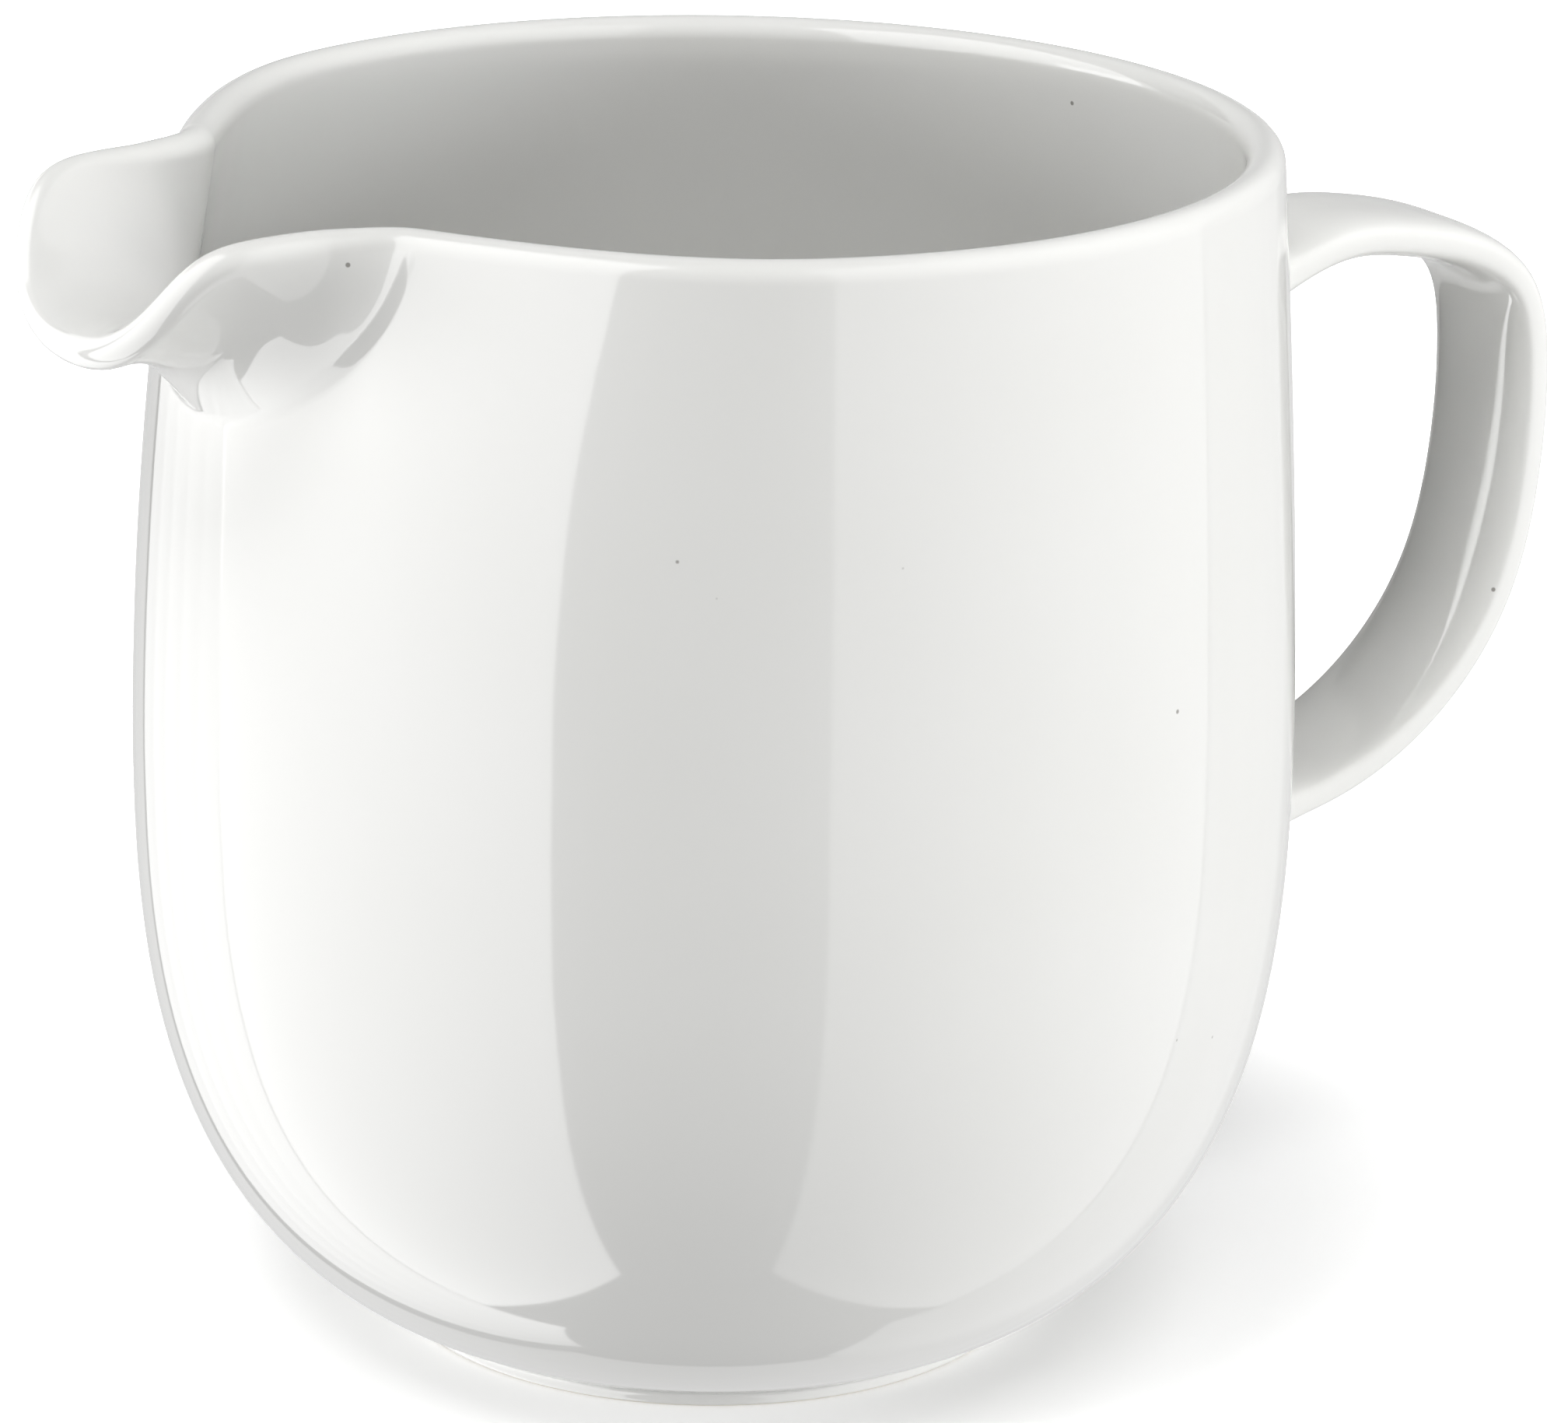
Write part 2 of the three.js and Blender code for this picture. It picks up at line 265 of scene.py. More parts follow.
# %% [markdown]
# ## The crisp fold outside
# Glaze fills a fold only a little, so outside the spout meets the body in a narrow dark line. A wall
# offset from its middle can't be that crisp on the hollow side. So near the fold the outside is drawn
# directly, from the body's outer surface to the lip's outer edge, and it blends into the offset wall
# higher up. Beside the spout the flank also stands a little proud of the wall, on a short straight ramp
# along the crease.

# %% The outside of the wall
FOLD_DEPTH, FOLD_WIDTH, FOLD_WIDTH_AT_RIM = 17.35, 0.65, 0.25
# From this share of the way to the lip, and over this much more, the fold blends into the offset wall.
BLEND_START, BLEND_LENGTH = 0.3, 0.6
FLANK_PROUD, FLANK_RUN = 0.5, 1.0
# The flank rises as 2.2 a - 0.7, where a is 0 in the middle of the spout and 1 where it ends.
FLANK_RISE, FLANK_DELAY = 2.2, 0.7


def smooth(value):
    """Rises from 0 to 1 with level ends: 3v^2 - 2v^3."""
    value = np.clip(value, 0, 1)
    return value * value * (3 - 2 * value)


def flank(angle, height, share):
    """How far the flank stands proud: a ramp of the distance from the crease, fading at the lip."""
    away = (height - crease_height(angle, FOLD_DEPTH)) / np.hypot(1, crease_slope(angle, FOLD_DEPTH))
    ramp = np.clip(away / FLANK_RUN, 0, 1) * (1 - share**3)
    return FLANK_PROUD * ramp * smooth(FLANK_RISE * around_spout(angle) - FLANK_DELAY)


def outer_wall(angle, height):
    """The outside: the body's outer surface carried out to the lip's outer edge above a narrow fold."""
    base = beside(plain_wall, angle, height, 0.0, WALL / 2)
    share = spout_share(angle, height, FOLD_DEPTH, FOLD_WIDTH, FOLD_WIDTH_AT_RIM)
    rim_level = np.full_like(angle, RIM_LEVEL)
    carry = wall_point(angle, rim_level, 0.0) - beside(plain_wall, angle, rim_level, 0.0, WALL / 2)
    direct = base + share[..., None] * carry
    direct[..., 2] += arch(angle, share)
    blend = smooth((share - BLEND_START) / BLEND_LENGTH)[..., None]
    outside = direct * (1 - blend) + wall_point(angle, height, 0.0) * blend
    return outside + around_axis(flank(angle, height, share), angle, 0.0)


print(f"the fold is {2 * FOLD_WIDTH:.1f} mm wide and its flank stands {FLANK_PROUD} mm proud")

# %% [markdown]
# ## From formulas to one skin
# The wall is now a formula, and the skin is that formula on a grid. An even grid would need far more
# points for the same spout. So the columns, which run up the outside, over the lip and down the inside,
# crowd at the spout and most of all along the edge of its flanks, and the rows follow the crease.

# %% Columns
COLUMNS = 400
FLANK_ANGLE, FLANK_SPREAD = np.radians(26), np.radians(5)
SPOUT_CROWDING, FLANK_CROWDING = 2, 5
DENSITY_POINTS = 20001


def column_angles():
    """Angles from a density: 1 everywhere, 2 more in the spout, 5 more in a bell at each flank."""
    angle = np.linspace(-np.pi, np.pi, DENSITY_POINTS)
    bell = np.exp(-(((np.abs(angle) - FLANK_ANGLE) / FLANK_SPREAD) ** 2))
    density = 1 + SPOUT_CROWDING * (np.abs(angle) < SPOUT_HALF_ANGLE) + FLANK_CROWDING * bell
    total = np.concatenate([[0], np.cumsum((density[1:] + density[:-1]) / 2)])
    return np.interp(np.arange(COLUMNS) / COLUMNS, total / total[-1], angle)


angles = column_angles()
print(f"{COLUMNS} columns, the closest {np.degrees(np.diff(angles).min()):.2f} degrees apart")

# %% Rows
# Rows from base to belly, from belly to crease, across the crease, and from crease to rim.
OUTSIDE_ROWS, INSIDE_ROWS = (34, 20, 16, 26), (22, 10, 8, 18)
FOLD_BAND = 1.4
LEAST_TOP = 6.0
BASE_CROWDING, TOP_CROWDING = 1.6, 1.3


def rows_between(start, end, count, crowding=1.0):
    """Heights from start to end without the start, closer together at the start: share^crowding."""
    share = np.linspace(0, 1, count + 1)[1:, None] ** crowding
    return start + (end - start) * share


def wall_heights(depth, band, counts):
    """Heights of the rows, one column of numbers for each angle, close together at the crease."""
    crease = np.minimum(crease_height(angles, depth), RIM_LEVEL - LEAST_TOP)
    belly, rim = np.full_like(crease, BELLY_HEIGHT), np.full_like(crease, RIM_LEVEL)
    return np.concatenate([
        rows_between(BASE_START, belly, counts[0], BASE_CROWDING),
        rows_between(belly, crease - band, counts[1]),
        rows_between(crease - band, crease + band, counts[2]),
        rows_between(crease + band, rim, counts[3], TOP_CROWDING),
    ])


outside_heights = wall_heights(FOLD_DEPTH, FOLD_BAND, OUTSIDE_ROWS)
inside_heights = wall_heights(SPOUT_DEPTH, CREASE_WIDTH, INSIDE_ROWS)[::-1]
print(len(outside_heights), "rows outside and", len(inside_heights), "rows inside")

# %% [markdown]
# ## The foot
# A thrown or cast jug stands on a ring and not on its whole base, because a ring stays flat in the kiln
# and is quickly wiped clean of glaze. It is a small profile turned round the axis: the recess, the
# ring's inner wall, the flat that it stands on, and the outer wall up to the base. Its corners are
# rounded within the profile, which is cheaper and more even than a bevel on the finished mesh.

# %% Foot and floor
FOOT_RADIUS, FOOT_INNER_RADIUS, FOOT_WALL_TOP = 27.9, 24.9, 1.1
FOOT_ROUNDING, ROUNDING_POINTS = 0.45, 4
RECESS_RADIUS, RECESS_HEIGHT, RECESS_RINGS = 23.9, 1.8, (5, 12, 17.9)
FLOOR_HEIGHT, FLOOR_RINGS = 5.1, (25.4, 20, 12, 5)


def rounded(corners):
    """A line of points with each inner corner c replaced by the curve (1-t)^2 a + 2t(1-t) c + t^2 b."""
    corners = np.array(corners, float)
    before, corner, after = corners[:-2], corners[1:-1], corners[2:]
    back, ahead = before - corner, after - corner
    start = corner + back * FOOT_ROUNDING / np.linalg.norm(back, axis=1, keepdims=True)
    end = corner + ahead * FOOT_ROUNDING / np.linalg.norm(ahead, axis=1, keepdims=True)
    t = np.linspace(0, 1, ROUNDING_POINTS)[None, :, None]
    curve = (1 - t) ** 2 * start[:, None] + 2 * t * (1 - t) * corner[:, None] + t**2 * end[:, None]
    return np.concatenate([corners[:1], curve.reshape(-1, 2), corners[-1:]])


foot_profile = rounded([
    (RECESS_RINGS[-1], RECESS_HEIGHT),
    (RECESS_RADIUS, RECESS_HEIGHT),
    (FOOT_INNER_RADIUS, FOOT_WALL_TOP),
    (FOOT_INNER_RADIUS, 0),
    (FOOT_RADIUS, 0),
    (FOOT_RADIUS, FOOT_WALL_TOP),
    (body_radius(np.float64(BASE_START)), BASE_START),
])
recess = [(radius, RECESS_HEIGHT) for radius in RECESS_RINGS[:-1]]
underside = np.concatenate([recess, foot_profile])
floor = np.array([(radius, FLOOR_HEIGHT) for radius in FLOOR_RINGS])
print(f"the jug stands on a ring {FOOT_RADIUS - FOOT_INNER_RADIUS:.1f} mm wide")

# %% The skin of the body
LIP_TURNS = 11


def on_columns(heights):
    """The columns' angles, repeated for each row of heights."""
    return np.broadcast_to(angles, heights.shape)


lip_turns = np.linspace(0, np.pi, LIP_TURNS + 2)[1:-1, None] * np.ones(COLUMNS)
lip_heights = np.full(lip_turns.shape, RIM_LEVEL)
skin = np.concatenate([
    around_axis(underside[:, :1], angles, underside[:, 1:]),
    outer_wall(on_columns(outside_heights), outside_heights),
    wall_point(on_columns(lip_turns), lip_heights, lip_turns[..., None]),
    wall_point(on_columns(inside_heights), inside_heights, np.pi),
    around_axis(floor[:, :1], angles, floor[:, 1:]),
])
skin[..., :2] *= -1
print("rows and columns of the body's skin:", skin.shape[:2])

# %% [markdown]
# ## The handle
# The handle is a flat strap, pulled or cast, bent into an ear and stuck to the wall with slip. A curve
# with a bevel would give the strap, but not the way it spreads into the wall, so it is a section
# carried along a path: a superellipse, the shape between an ellipse and a rectangle. Near the wall it
# swells in a quarter round, and the last ring lies on the wall itself.

# %% The strap's path
STRAP_PATH = np.array([
    (47, 85.8), (53.5, 87.1), (60.4, 89.1), (67.5, 88.7), (74.4, 86.9), (79.6, 83.2), (81.6, 75.7),
    (81.3, 65), (78.6, 54), (71.8, 44.7), (62, 38.8), (54, 36.9), (47, 36.1),
])
PATH_POINTS = 4000


def smooth_path(points, count):
    """A curve through the points whose bend changes evenly: a natural cubic spline along the chords."""
    place = along_line(points)
    gap = np.diff(place)
    slope = np.diff(points, axis=0) / gap[:, None]
    system = np.eye(len(points))
    inner = np.arange(1, len(points) - 1)
    system[inner, inner - 1] = gap[:-1]
    system[inner, inner] = 2 * (gap[:-1] + gap[1:])
    system[inner, inner + 1] = gap[1:]
    right = np.zeros_like(points)
    right[1:-1] = 6 * np.diff(slope, axis=0)
    bend = np.linalg.solve(system, right)
    at = np.linspace(0, place[-1], count)
    span = np.clip(np.searchsorted(place, at, side="right") - 1, 0, len(gap) - 1)
    past, left = (at - place[span])[:, None], (place[span + 1] - at)[:, None]
    wide = gap[span][:, None]
    cubic = (bend[span] * left**3 + bend[span + 1] * past**3) / (6 * wide)
    straight = (points[span] / wide - bend[span] * wide / 6) * left
    return cubic + straight + (points[span + 1] / wide - bend[span + 1] * wide / 6) * past


path = smooth_path(STRAP_PATH, PATH_POINTS)
outside_wall = np.flatnonzero(path[:, 0] > body_radius(path[:, 1]))
path = path[outside_wall[0]:outside_wall[-1] + 1]
path_length = along_line(path)
print(f"the strap is {path_length[-1]:.0f} mm long between its roots")

# %% Stations along the strap
ROOT_LENGTH = 10.0
STRAP_STATIONS, ROOT_STATIONS = 90, 16


def along_path(values):
    """Values given at the path's points, read off at the stations."""
    return np.concatenate([np.interp(places, path_length, values[:, axis]) for axis in (0, 1)], axis=1)


root_turn = np.linspace(0, np.pi / 2, ROOT_STATIONS)
root_places = ROOT_LENGTH * (1 - np.cos(root_turn))
free_places = np.linspace(ROOT_LENGTH, path_length[-1] - ROOT_LENGTH, STRAP_STATIONS)[1:-1]
places = np.concatenate([root_places, free_places, path_length[-1] - root_places[::-1]])[:, None]
centre = along_path(path)
ahead = along_path(np.gradient(path, path_length, axis=0))
ahead /= np.linalg.norm(ahead, axis=1, keepdims=True)
normal = np.stack([-ahead[:, 1], ahead[:, 0]], axis=1)
print(len(places), "stations along the strap")

# %% The strap's skin
STRAP_WIDTH, STRAP_THICKNESS, STRAP_ROUNDING = 14.7, 4.0, 3.2
ROOT_SWELL, ROOT_SPREAD = 4.0, 2.0
STRAP_SIDES = 80


def squared(wave):
    """A cosine or sine made squarer: its sign times its size to the power 2 / 3.2."""
    return np.sign(wave) * np.abs(wave) ** (2 / STRAP_ROUNDING)


to_wall = np.minimum(places, path_length[-1] - places)
near = np.clip(1 - to_wall / ROOT_LENGTH, 0, 1)
swell = 1 - np.sqrt(1 - near**2)
turn = np.linspace(0, 2 * np.pi, STRAP_SIDES, endpoint=False)
across = squared(np.cos(turn)) * (STRAP_WIDTH / 2 + ROOT_SPREAD * swell)
out = squared(np.sin(turn)) * (STRAP_THICKNESS / 2 + ROOT_SWELL * swell)
strap = stack(centre[:, :1] + out * normal[:, :1], across, centre[:, 1:] + out * normal[:, 1:])

# %% The ends of the strap laid on the wall
half_way = places < path_length[-1] / 2
root_x = np.where(half_way, centre[0, 0], centre[-1, 0])
root_lean = np.where(half_way, normal[0, 0], normal[-1, 0])
wall_x = np.sqrt(body_radius(strap[..., 2]) ** 2 - strap[..., 1] ** 2)
strap[..., 0] += near**2 * (wall_x - root_x - out * root_lean)
print("rows and columns of the strap's skin:", strap.shape[:2])

# %% [markdown]
# ## One closed surface
# A boolean would join strap and body, but leaves long thin faces where two curved surfaces meet. Here
# the body's faces under each root are left out, and the open edge is joined to the strap's last ring,
# which lies on the same surface, so nothing shows.

# %% Faces of a skin, and the hole under a root
ROOT_MARGIN = 0.7


def skin_faces(row_count, column_count, first=0):
    """Four-sided faces between neighbouring rows and columns, closed round the columns."""
    row_start = first + np.arange(row_count - 1)[:, None] * column_count
    low = row_start + np.arange(column_count)
    next_low = row_start + (np.arange(column_count) + 1) % column_count
    corners = [low, next_low, next_low + column_count, low + column_count]
    return np.stack(corners, axis=-1).reshape(-1, 4)


def under_root(ring):
    """True for points of the skin inside a root's outline, a superellipse, with a margin round it."""
    low, high = ring.min(axis=0), ring.max(axis=0)
    middle, half = (low + high) / 2, (high - low) / 2 + ROOT_MARGIN
    spread = (np.abs(skin - middle) / half)[..., 1:] ** STRAP_ROUNDING
    return (spread.sum(axis=-1) < 1) & (skin[..., 0] > 0)


body_faces = skin_faces(*skin.shape[:2])
row_of_face = np.repeat(np.arange(len(skin) - 1), COLUMNS)
first_outside, last_outside = len(underside), len(underside) + len(outside_heights) - 1
on_outside = (row_of_face >= first_outside) & (row_of_face < last_outside)
covered = under_root(strap[0]) | under_root(strap[-1])
open_here = covered.reshape(-1)[body_faces].any(axis=1) & on_outside
body_faces = body_faces[~open_here]
print("faces left out under the roots:", int(open_here.sum()))

# %% Join body, strap and poles
body_points = skin.reshape(-1, 3)
poles = np.array([(0, 0, RECESS_HEIGHT), (0, 0, FLOOR_HEIGHT)])
points = np.concatenate([body_points, strap.reshape(-1, 3), poles])
points[:, 0] += AXIS_X
points /= 1000

strap_faces = skin_faces(*strap.shape[:2], first=len(body_points))
column = np.arange(COLUMNS)
next_column = (column + 1) % COLUMNS
last_ring = len(body_points) - COLUMNS
recess_pole, floor_pole = np.full(COLUMNS, len(points) - 2), np.full(COLUMNS, len(points) - 1)
recess_fan = np.stack([recess_pole, next_column, column], axis=1)
floor_fan = np.stack([last_ring + column, last_ring + next_column, floor_pole], axis=1)

mesh = bpy.data.meshes.new("porcelain_jug")
faces = [*body_faces.tolist(), *strap_faces.tolist(), *recess_fan.tolist(), *floor_fan.tolist()]
mesh.from_pydata(points.tolist(), [], faces)
print(len(points), "points and", len(faces), "faces before joining")

# %% Bare faces of the foot ring
# The ring is wiped where it stands on the kiln shelf, and this far up its rounded edges.
WIPED_HEIGHT = 0.3
wiped = (body_points[:, 2][body_faces] < WIPED_HEIGHT).all(axis=1)
material_index = np.zeros(len(faces), np.int32)
material_index[:len(wiped)] = wiped
mesh.polygons.foreach_set("material_index", material_index)
print("bare faces under the foot:", int(wiped.sum()))

# %% Close the surface at the roots
# A height between the two roots, in metres as the mesh is now.
BETWEEN_ROOTS = 0.062

joined = bmesh.new()
joined.from_mesh(mesh)
open_edges = [edge for edge in joined.edges if edge.is_boundary]
upper = [edge for edge in open_edges if edge.verts[0].co.z > BETWEEN_ROOTS]
lower = [edge for edge in open_edges if edge.verts[0].co.z <= BETWEEN_ROOTS]
for edges in (upper, lower):
    bmesh.ops.bridge_loops(joined, edges=edges)
loose = [vertex for vertex in joined.verts if not vertex.link_faces]
bmesh.ops.delete(joined, geom=loose, context="VERTS")
bmesh.ops.recalc_face_normals(joined, faces=joined.faces[:])
print("open edges left:", sum(1 for edge in joined.edges if not edge.is_manifold))
print(f"volume: {joined.calc_volume() * 1e6:.1f} cm3")
joined.to_mesh(mesh)
joined.free()
mesh.shade_smooth()
mesh.update()

# %% The jug as one piece
jug = bpy.data.objects.new("porcelain_jug", mesh)
bpy.context.scene.collection.objects.link(jug)
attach(jug, "root")
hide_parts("jug")
print("triangles:", sum(len(face.vertices) - 2 for face in mesh.polygons))

# %% [markdown]
# ## Glazed porcelain
# The white is the body under a clear glaze. Glaze is a thin glass, so it reflects like glass, with an
# IOR of about 1.5 and almost no roughness. A coat over a matt base would give the same, but one gloss
# layer does it with fewer settings. Glaze never lies quite flat: it waves a little over a centimetre or
# two, which bends the reflections, and a few specks of iron from the clay show as dots.

# %% Colour and node helpers
def linear(hex_colour):
    """An sRGB hex colour as the linear numbers that Blender works with."""
    value = np.array([int(hex_colour[start:start + 2], 16) for start in (1, 3, 5)]) / 255
    low, high = value / 12.92, ((value + 0.055) / 1.055) ** 2.4
    return (*np.where(value <= 0.04045, low, high).tolist(), 1.0)


def new_material(name):
    """A material with nodes, its node tree and its Principled shader."""
    material = bpy.data.materials.new(name)
    material.use_nodes = True
    return material, material.node_tree, material.node_tree.nodes["Principled BSDF"]


def add(tree, kind, links=(), **settings):
    """Adds a node. Settings are its properties, or inputs by name; links are (input, output) pairs."""
    node = tree.nodes.new(kind)
    for name, value in settings.items():
        if hasattr(node, name):
            setattr(node, name, value)
        else:
            node.inputs[name.replace("_", " ")].default_value = value
    for name, output in links:
        tree.links.new(output, node.inputs[name])
    return node


def add_range(tree, output, from_min, from_max, to_min, to_max):
    """Adds a node that maps one range of an output evenly onto another, and stops at its ends."""
    ends = {"From_Min": from_min, "From_Max": from_max, "To_Min": to_min, "To_Max": to_max}
    return add(tree, "ShaderNodeMapRange", [("Value", output)], **ends).outputs["Result"]


print("sRGB #BCBCBC as a linear number:", round(linear("#BCBCBC")[0], 3))

# %% Clear glaze over white porcelain
glaze, tree, shader = new_material("clear_glazed_porcelain")
shader.inputs["Roughness"].default_value = 0.06
shader.inputs["IOR"].default_value = 1.52
place = add(tree, "ShaderNodeTexCoord").outputs["Object"]

# White that drifts by a shade over about 25 mm, as the glaze pools a little thicker and thinner.
pooling = add(tree, "ShaderNodeTexNoise", [("Vector", place)], Scale=40.0, Detail=2.0, Roughness=0.5)
white = add(tree, "ShaderNodeMix", [("Factor", pooling.outputs["Fac"])], data_type="RGBA")
white.inputs["A"].default_value = linear("#E6E6E3")
white.inputs["B"].default_value = linear("#EAEAE8")

# Iron specks: points about 12 mm apart in space, of which the surface cuts a few, each 0.4 mm wide.
# Core and edge are distances from such a point, as shares of the 12 mm.
SPECK_CORE, SPECK_EDGE, SPECK_DEPTH = 0.012, 0.02, 0.75
cells = add(tree, "ShaderNodeTexVoronoi", [("Vector", place)], Scale=83.0)
speck = add_range(tree, cells.outputs["Distance"], SPECK_CORE, SPECK_EDGE, SPECK_DEPTH, 0.0)
speck_over_white = [("Factor", speck), ("A", white.outputs["Result"])]
speckled = add(tree, "ShaderNodeMix", speck_over_white, data_type="RGBA")
speckled.inputs["B"].default_value = linear("#6E6A62")
tree.links.new(speckled.outputs["Result"], shader.inputs["Base Color"])

# The glaze's slow wave: about 20 mm from crest to crest and a few hundredths of a millimetre high.
wave = add(tree, "ShaderNodeTexNoise", [("Vector", place)], Scale=50.0, Detail=1.0, Roughness=0.4)
bump = add(tree, "ShaderNodeBump", [("Height", wave.outputs["Fac"])], Strength=1.0, Distance=0.00006)
tree.links.new(bump.outputs["Normal"], shader.inputs["Normal"])
mesh.materials.append(glaze)
print("glaze made of", len(tree.nodes), "nodes")

# %% [markdown]
# ## Bare porcelain under the foot
# The foot ring is wiped before firing, or the jug would stick to the kiln shelf. There the porcelain
# is bare: matt, a little warmer, with a very fine grain. It could be one material with a mask, but a
# second material on the wiped faces gives the sharp edge that a sponge leaves.

# %% Bare porcelain
bare, tree, shader = new_material("bare_fired_porcelain")
shader.inputs["Roughness"].default_value = 0.7
place = add(tree, "ShaderNodeTexCoord").outputs["Object"]
# The real grain is about 0.05 mm. It is drawn at 0.3 mm, so that it shows.
grain = add(tree, "ShaderNodeTexNoise", [("Vector", place)], Scale=3300.0, Detail=2.0, Roughness=0.6)
clay = add(tree, "ShaderNodeMix", [("Factor", grain.outputs["Fac"])], data_type="RGBA")
clay.inputs["A"].default_value = linear("#DAD5CA")
clay.inputs["B"].default_value = linear("#EAE6DC")
tree.links.new(clay.outputs["Result"], shader.inputs["Base Color"])
bump = add(tree, "ShaderNodeBump", [("Height", grain.outputs["Fac"])], Strength=0.5, Distance=0.00003)
tree.links.new(bump.outputs["Normal"], shader.inputs["Normal"])
mesh.materials.append(bare)
print("materials of the jug:", [material.name for material in mesh.materials])

# %% [markdown]
# ## The floor
# A white thing on white paper is shot with the paper lit on its own, so that it burns out to pure white
# and only the soft shadow round the foot is left. A white floor under the jug's lights would come out
# grey, and would throw its light back at the jug. So this one glows by itself, and it neither lights the
# jug nor shows in its glaze. Its glow is made weaker and weaker towards the foot, which is painted shade
# round the foot, added to the real shadow that the jug casts from the lamps.

# %% Floor
FLOOR_HALF_WIDTH = 4
# The glow rises with the distance from the frame's origin in metres, from the first share to the last.
# Near the foot the glow is held low. This is painted shade round the foot.
GLOW_FROM, GLOW_TO, PAINTED_SHADE_GLOW, GLOW_FAR = 0.03, 0.11, 0.15, 1.0

corners = [(x * FLOOR_HALF_WIDTH, y * FLOOR_HALF_WIDTH, 0) for x, y in ((-1, -1), (1, -1), (1, 1), (-1, 1))]
ground = bpy.data.meshes.new("studio_floor")
ground.from_pydata(corners, [], [(0, 1, 2, 3)])
floor_material, tree, shader = new_material("glowing_floor_painted_shade_at_foot")
shader.inputs["Base Color"].default_value = linear("#F4F4F4")
shader.inputs["Roughness"].default_value = 0.9
shader.inputs["Specular IOR Level"].default_value = 0.1
shader.inputs["Emission Color"].default_value = linear("#FFFFFF")
floor_place = add(tree, "ShaderNodeTexCoord").outputs["Object"]
from_jug = add(tree, "ShaderNodeVectorMath", [(0, floor_place)], operation="LENGTH")
# Painted shade: the floor's glow is weakest near the foot.
glow = add_range(tree, from_jug.outputs["Value"], GLOW_FROM, GLOW_TO, PAINTED_SHADE_GLOW, GLOW_FAR)
tree.links.new(glow, shader.inputs["Emission Strength"])
ground.materials.append(floor_material)
studio_floor = bpy.data.objects.new("studio_floor", ground)
bpy.context.scene.collection.objects.link(studio_floor)
studio_floor.visible_glossy = False
studio_floor.visible_diffuse = False
print("floor:", 2 * FLOOR_HALF_WIDTH, "m square")

# %% [markdown]
# ## The camera
# A photograph gives a camera away by the ellipses of rim and foot: how open they are, and how much wider
# the near one looks. The camera's place, turn and lens were fitted to them with the camera straight in
# front of the jug's axis. All of it is then turned round the axis by 30 degrees, because the jug is seen
# at an angle. Pointing the camera at a target would be easier, but leaves no room for the small roll.

# %% Camera
# Millimetres from the foot of the jug's axis, then radians.
CAMERA_PLACE, VIEW_ANGLE = np.array([0.0, -523.98, 223.58]), np.radians(30)
PITCH, YAW, ROLL = 0.3147, 0.0115, 0.0166
FOCAL_PIXELS, IMAGE_WIDTH, SENSOR_WIDTH = 8204.4, 2016, 36.0


def turned(vector):
    """A vector from the camera's own frame in the jug's frame, turned back by the view angle."""
    cos, sin = np.cos(VIEW_ANGLE), np.sin(VIEW_ANGLE)
    x, y, z = vector
    return np.array([cos * x + sin * y, cos * y - sin * x, z])


def pose(x_axis, y_axis, z_axis, place):
    """A matrix that has the three directions and the place as its columns."""
    matrix = np.eye(4)
    matrix[:3] = np.stack([x_axis, y_axis, z_axis, place], axis=1)
    return Matrix(matrix.tolist())


forward = np.array([np.sin(YAW) * np.cos(PITCH), np.cos(YAW) * np.cos(PITCH), -np.sin(PITCH)])
level_right = np.array([np.cos(YAW), -np.sin(YAW), 0])
level_up = np.cross(level_right, forward)
right = np.cos(ROLL) * level_right + np.sin(ROLL) * level_up
upward = np.cos(ROLL) * level_up - np.sin(ROLL) * level_right
camera_place = (turned(CAMERA_PLACE) + [AXIS_X, 0, 0]) / 1000

camera_data = bpy.data.cameras.new("photo_camera")
camera_data.sensor_width = SENSOR_WIDTH
camera_data.lens = FOCAL_PIXELS / IMAGE_WIDTH * SENSOR_WIDTH
camera = bpy.data.objects.new("photo_camera", camera_data)
camera.matrix_world = pose(turned(right), turned(upward), turned(-forward), camera_place)
bpy.context.scene.collection.objects.link(camera)
bpy.context.scene.camera = camera
print("camera at", np.round(camera_place, 4), "lens", round(camera_data.lens, 1), "mm")

# %% [markdown]
# ## The light
# White porcelain shows its form by two things: how its matt white turns from the light, and what its
# glaze reflects. Real soft boxes do both at once. Here the two are kept apart, because each can then be
# set against the photograph on its own. Lamps light the white and aren't seen in the glaze. Cards are
# seen in the glaze alone: two wide ones stand left and right with a gap between them, and the gap shows
# as the grey band down the middle of the body.

# %% Helpers for the lights
STUDIO_DISTANCE = 0.9


def soft_box(name, direction, height, width, tall, power, distance=STUDIO_DISTANCE, aim=None):
    """An area light, level or aimed at a height. Direction is degrees to the right of the camera."""
    turn = np.radians(direction)
    place = turned(np.array([np.sin(turn), -np.cos(turn), 0]) * distance)
    place[0] += AXIS_X / 1000
    place[2] = height
    data = bpy.data.lights.new(name, "AREA")
    data.shape = "RECTANGLE"
    data.size, data.size_y, data.energy = width, tall, power
    back = place - [AXIS_X / 1000, 0, height if aim is None else aim]
    back /= np.linalg.norm(back)
    side = np.cross([0, 0, 1], back)
    side /= np.linalg.norm(side)
    light = bpy.data.objects.new(name, data)
    light.matrix_world = pose(side, np.cross(back, side), back, place)
    light.visible_camera = False
    bpy.context.scene.collection.objects.link(light)
    return light


def lamp(*sizes, **more):
    """A soft light that lights the jug but isn't seen in its glaze."""
    soft_box(*sizes, **more).visible_glossy = False


def card(*sizes, **more):
    """A reflector that only the glaze shows."""
    reflector = soft_box(*sizes, **more)
    reflector.visible_diffuse = False
    reflector.visible_transmission = False


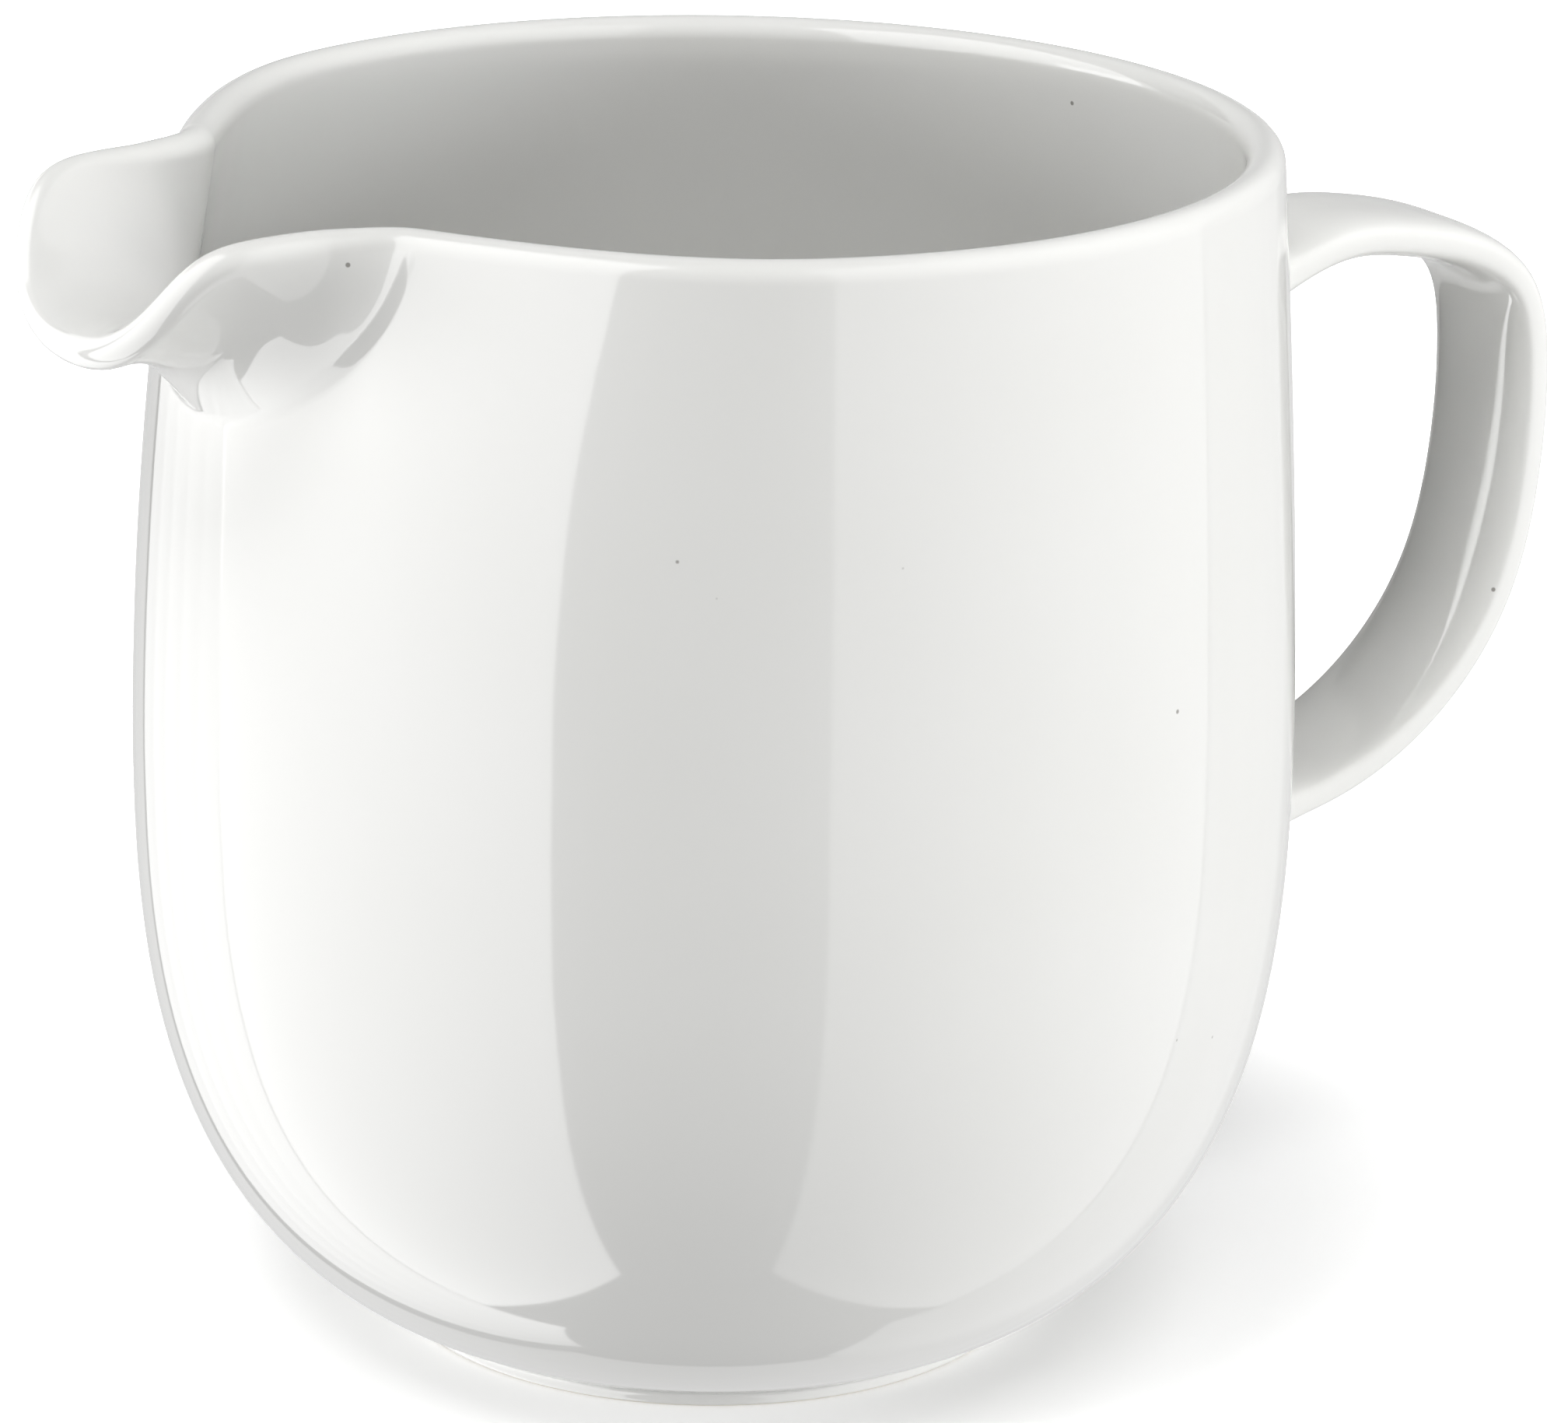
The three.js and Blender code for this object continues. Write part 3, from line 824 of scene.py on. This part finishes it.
# %% Lamps
# After each name: degrees to the right of the camera, height, width and own height in metres, and watts.
lamp("left_soft_box", -80, 0.15, 0.5, 0.3, 4.3)
lamp("right_soft_box", 80, 0.15, 0.5, 0.3, 5.3)
lamp("top_left_soft_box", -45, 1.0, 0.5, 0.5, 5.2, distance=0.45, aim=0.1)
lamp("top_right_soft_box", 60, 1.0, 0.5, 0.5, 3.8, distance=0.45, aim=0.1)
lamp("front_strip", 0, 0.14, 1.2, 0.012, 0.7)

# %% Cards
# The row of narrow cards on the left stands close to the jug. Glaze reflects more and more towards the
# outline, so each card is weaker than the one before, and the white stays even right out to the edge.
# They stand so close that the handle's inner face doesn't see them, and it stays grey.
NEAR_CARDS, NEAR_DISTANCE, NEAR_LEVEL, NEAR_HEIGHT = 5, 0.134, -0.15, 0.6
NEAR_START, NEAR_TURN, NEAR_WIDTH = -97.3, 7.2, 0.0169
NEAR_POWER, NEAR_POWER_LOSS = 0.082, 0.0101

card("left_card", -70, 0.0, 1.5, 5.0, 74)
card("right_card", 66, 0.0, 1.74, 5.0, 34)
card("right_far_card", 130, 0.0, 0.65, 5.0, 8)
card("back_card", 180, 0.0, 1.04, 5.0, 10)
for number in range(NEAR_CARDS):
    direction, power = NEAR_START - NEAR_TURN * number, NEAR_POWER - NEAR_POWER_LOSS * number
    name = f"left_near_card_{number + 1}"
    card(name, direction, NEAR_LEVEL, NEAR_WIDTH, NEAR_HEIGHT, power, distance=NEAR_DISTANCE)
print(len(bpy.data.lights), "lights")

# %% Air of the studio
# The air is brightest from below and in front, as light comes off a white table. The direction is in
# the camera's own frame, and opposite to it, below AIR_FROM, the air is black.
BRIGHTEST_FROM = (0, -0.5, -0.87)
AIR_FROM, AIR_STRENGTH = -0.4, 0.86

world = bpy.data.worlds.new("studio_air")
bpy.context.scene.world = world
world.use_nodes = True
tree = world.node_tree
tree.nodes["Background"].inputs["Color"].default_value = linear("#F2F2F2")
sky = add(tree, "ShaderNodeTexCoord").outputs["Generated"]
facing = add(tree, "ShaderNodeVectorMath", [(0, sky)], operation="DOT_PRODUCT")
facing.inputs[1].default_value = turned(BRIGHTEST_FROM)
brightness = add_range(tree, facing.outputs["Value"], AIR_FROM, 1, 0.0, AIR_STRENGTH)
tree.links.new(brightness, tree.nodes["Background"].inputs["Strength"])
bpy.context.scene.view_settings.view_transform = "Standard"
print("air at its brightest:", AIR_STRENGTH)
